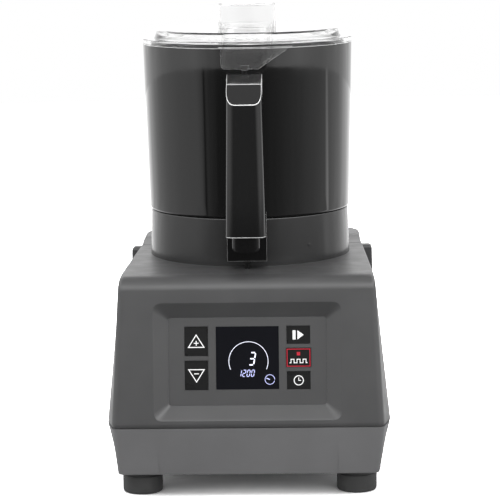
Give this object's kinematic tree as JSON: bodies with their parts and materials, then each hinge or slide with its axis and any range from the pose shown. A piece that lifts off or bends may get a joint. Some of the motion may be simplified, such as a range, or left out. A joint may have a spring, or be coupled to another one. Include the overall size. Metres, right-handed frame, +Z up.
{
  "type": "vertical cutter mixer",
  "caption": "Tabletop vertical cutter mixer: motor housing with keypad, locking collar, dark bowl with handle, clear lid with filler cap, knives on a hub.",
  "frame": {"origin": "under the middle of the footprint, on the surface that the feet stand on", "axes": "+Z up, the control panel and the handle face -Y, +X to the right seen from the front"},
  "size_m": [0.286, 0.387, 0.485],
  "materials": {
    "housing_plastic": "fine texture, satin",
    "tray_plastic": "fine texture, satin",
    "collar_plastic": "smooth satin",
    "panel_film": "fine matt film",
    "foot_rubber": "matt",
    "seal_rubber": "matt",
    "lid_rubber": "soft, milky",
    "black_plastic": "matt",
    "handle_plastic": "satin gloss",
    "bowl_gloss": "polished",
    "clear_plastic": "clear, polished",
    "display_lens": "polished dark lens",
    "display_glow": "dark, lit",
    "key_film": "satin film",
    "circuit_board": "satin",
    "cast_aluminium": "cast",
    "winding": "lacquered copper",
    "rotor_iron": "ground",
    "knife_steel": "ground, sharp edge",
    "black_steel": "blackened",
    "steel": "machined"
  },
  "bodies": {
    "housing": {"upper_housing": "housing_plastic", "base_tray": "tray_plastic", "foot_front_left": "foot_rubber", "foot_front_right": "foot_rubber", "foot_rear_left": "foot_rubber", "foot_rear_right": "foot_rubber", "foot_screws": "steel", "housing_screws": "steel", "keypad_panel": "panel_film", "display_window": "display_lens", "display_module": "display_glow", "control_board": "circuit_board", "key_switches": "black_plastic", "board_screws": "steel", "collar_ring": "collar_plastic", "collar_bolts": "steel", "motor_upper_shield": "cast_aluminium", "motor_case": "cast_aluminium", "motor_lower_shield": "cast_aluminium", "motor_stator": "winding", "upper_bearing": "steel", "lower_bearing": "steel", "shaft_seal": "seal_rubber", "motor_controller": "cast_aluminium", "switch_bracket": "steel", "interlock_switch": "black_plastic", "cable_gland": "black_plastic", "gland_locknut": "steel"},
    "drive": {"motor_rotor": "rotor_iron", "drive_shaft": "steel", "cooling_fan": "black_plastic", "blade_hub": "steel", "lower_blade": "knife_steel", "knife_spacer": "steel", "upper_blade": "knife_steel", "knife_nut": "steel", "hub_cap": "black_plastic"},
    "bowl": {"bowl": "bowl_gloss", "bowl_base": "bowl_gloss", "handle_rail": "handle_plastic", "rail_rivets": "steel", "rod_guide": "handle_plastic", "handle_front_shell": "handle_plastic", "handle_back_shell": "handle_plastic", "handle_screws": "steel", "handle_pin": "black_steel", "rod_spring": "steel"},
    "rod": {"interlock_rod": "black_steel"},
    "plunger": {"switch_plunger": "black_steel"},
    "lid": {"lid": "clear_plastic", "lid_seal": "lid_rubber"},
    "cap": {"filler_cap": "clear_plastic"},
    "key_speed_up_cap": {"key_speed_up": "key_film"},
    "key_speed_down_cap": {"key_speed_down": "key_film"},
    "key_start_cap": {"key_start": "key_film"},
    "key_stop_cap": {"key_stop": "key_film"},
    "key_timer_cap": {"key_timer": "key_film"}
  },
  "joints": [
    {"name": "drive_spin", "type": "hinge", "parent": "housing", "child": "drive", "pos_m": [0, -0.0055, 0.2], "axis": [0, 0, 1], "continuous": true},
    {"name": "bowl_turn", "type": "hinge", "parent": "housing", "child": "bowl", "pos_m": [0, -0.0055, 0.25], "axis": [0, 0, 1], "range_deg": [-20, 0]},
    {"name": "lid_turn", "type": "hinge", "parent": "bowl", "child": "lid", "pos_m": [0, -0.0055, 0.445], "axis": [0, 0, 1], "range_deg": [-22, 0]},
    {"name": "rod_slide", "type": "slide", "parent": "bowl", "child": "rod", "axis": [0, 0, 1], "range_m": [0, 0.0021], "deforming": ["rod_spring"]},
    {"name": "plunger_slide", "type": "slide", "parent": "housing", "child": "plunger", "axis": [0, 0, 1], "range_m": [0, 0.0021]},
    {"name": "cap_lift", "type": "slide", "parent": "lid", "child": "cap", "axis": [0, 0, 1], "range_m": [0, 0.045]},
    {"name": "key_speed_up_press", "type": "slide", "parent": "housing", "child": "key_speed_up_cap", "axis": [0, 0.9892, -0.1464], "range_m": [0, 0.0005], "stiffness_N_per_m": 2000},
    {"name": "key_speed_down_press", "type": "slide", "parent": "housing", "child": "key_speed_down_cap", "axis": [0, 0.9892, -0.1464], "range_m": [0, 0.0005], "stiffness_N_per_m": 2000},
    {"name": "key_start_press", "type": "slide", "parent": "housing", "child": "key_start_cap", "axis": [0, 0.9892, -0.1464], "range_m": [0, 0.0005], "stiffness_N_per_m": 2000},
    {"name": "key_stop_press", "type": "slide", "parent": "housing", "child": "key_stop_cap", "axis": [0, 0.9892, -0.1464], "range_m": [0, 0.0005], "stiffness_N_per_m": 2000},
    {"name": "key_timer_press", "type": "slide", "parent": "housing", "child": "key_timer_cap", "axis": [0, 0.9892, -0.1464], "range_m": [0, 0.0005], "stiffness_N_per_m": 2000}
  ],
  "couplings": [
    {"joint": "rod_slide", "follows": "lid_turn", "m_per_rad": -0.0052087},
    {"joint": "plunger_slide", "follows": "lid_turn", "m_per_rad": -0.0052087}
  ]
}
